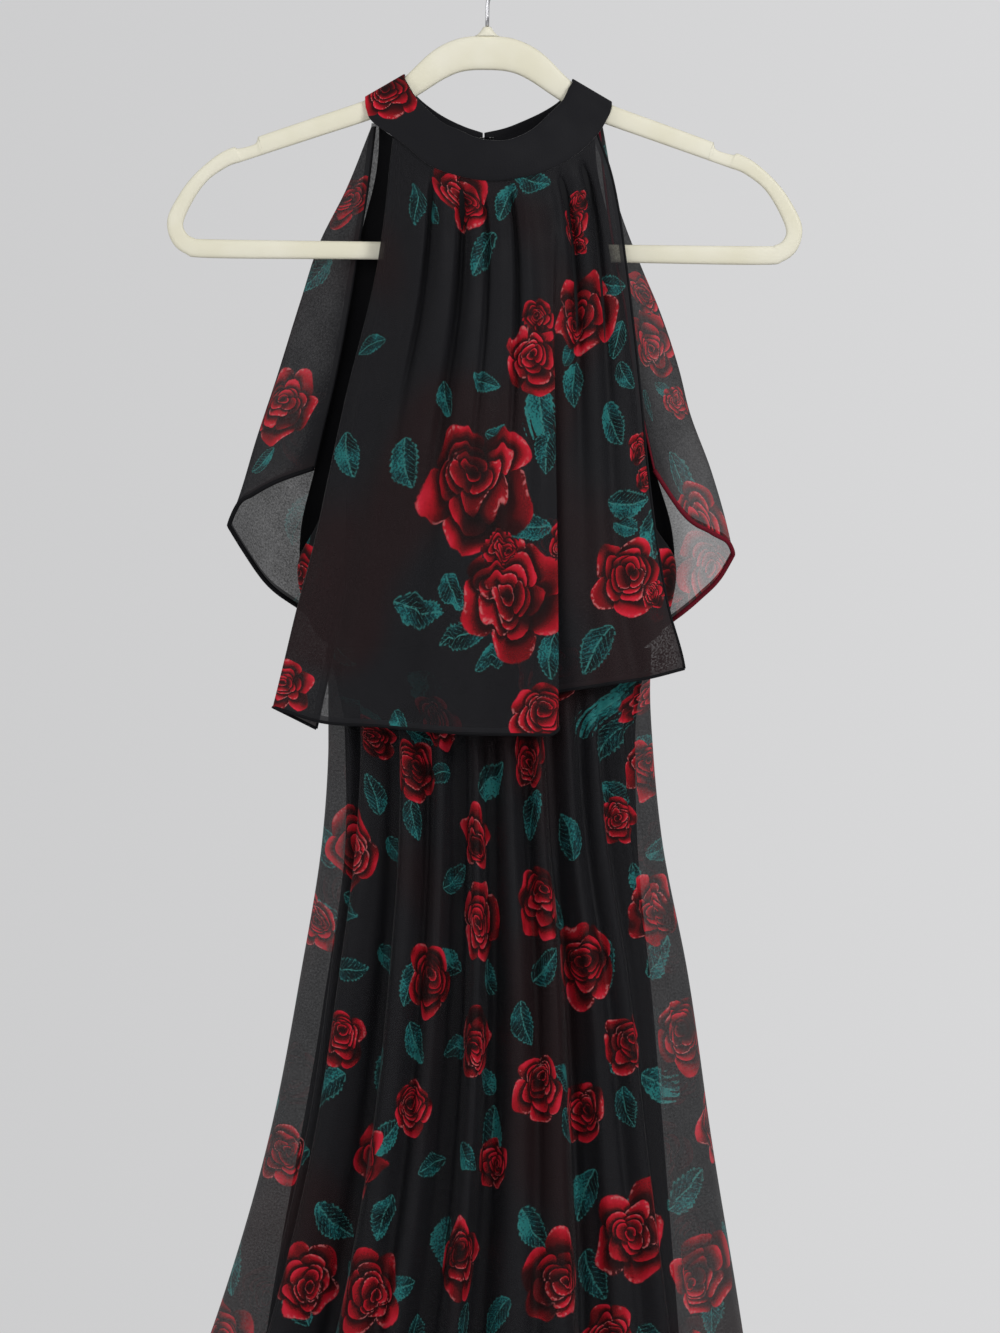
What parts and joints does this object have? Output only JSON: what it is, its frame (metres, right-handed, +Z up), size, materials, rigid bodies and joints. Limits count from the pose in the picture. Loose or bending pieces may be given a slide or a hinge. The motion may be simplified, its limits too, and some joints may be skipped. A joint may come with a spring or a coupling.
{
  "type": "maxi dress on a hanger",
  "caption": "Halter-neck maxi dress of printed chiffon with a popover bodice, hanging on a slim hanger with a wire hook.",
  "frame": {"origin": "inside top of the hanger's hook, where it hangs on a rail", "axes": "+Z up; the dress's front faces -Y; +X is to the right as the front is looked at"},
  "size_m": [0.6332, 0.2825, 1.5328],
  "materials": {
    "hanger": "smooth ivory, soft sheen",
    "wire": "polished wire",
    "band": "black chiffon over interfacing, rose print on one end",
    "lining": "opaque black lining",
    "chiffon": "sheer black chiffon with crimson roses and teal leaves"
  },
  "bodies": {
    "root": {"hanger_body": "hanger", "hanger_collar": "hanger", "hanger_hook": "wire", "neckband_front": "band", "neckband_back_left": "band", "neckband_back_right": "band", "neck_hook": "wire", "neck_eye": "wire", "underbodice_front": "lining", "underbodice_back": "lining", "overlay_front": "chiffon", "overlay_back_left": "chiffon", "overlay_back_right": "chiffon", "skirt_front": "chiffon", "skirt_back": "chiffon", "skirt_lining_front": "lining", "skirt_lining_back": "lining"}
  },
  "joints": []
}
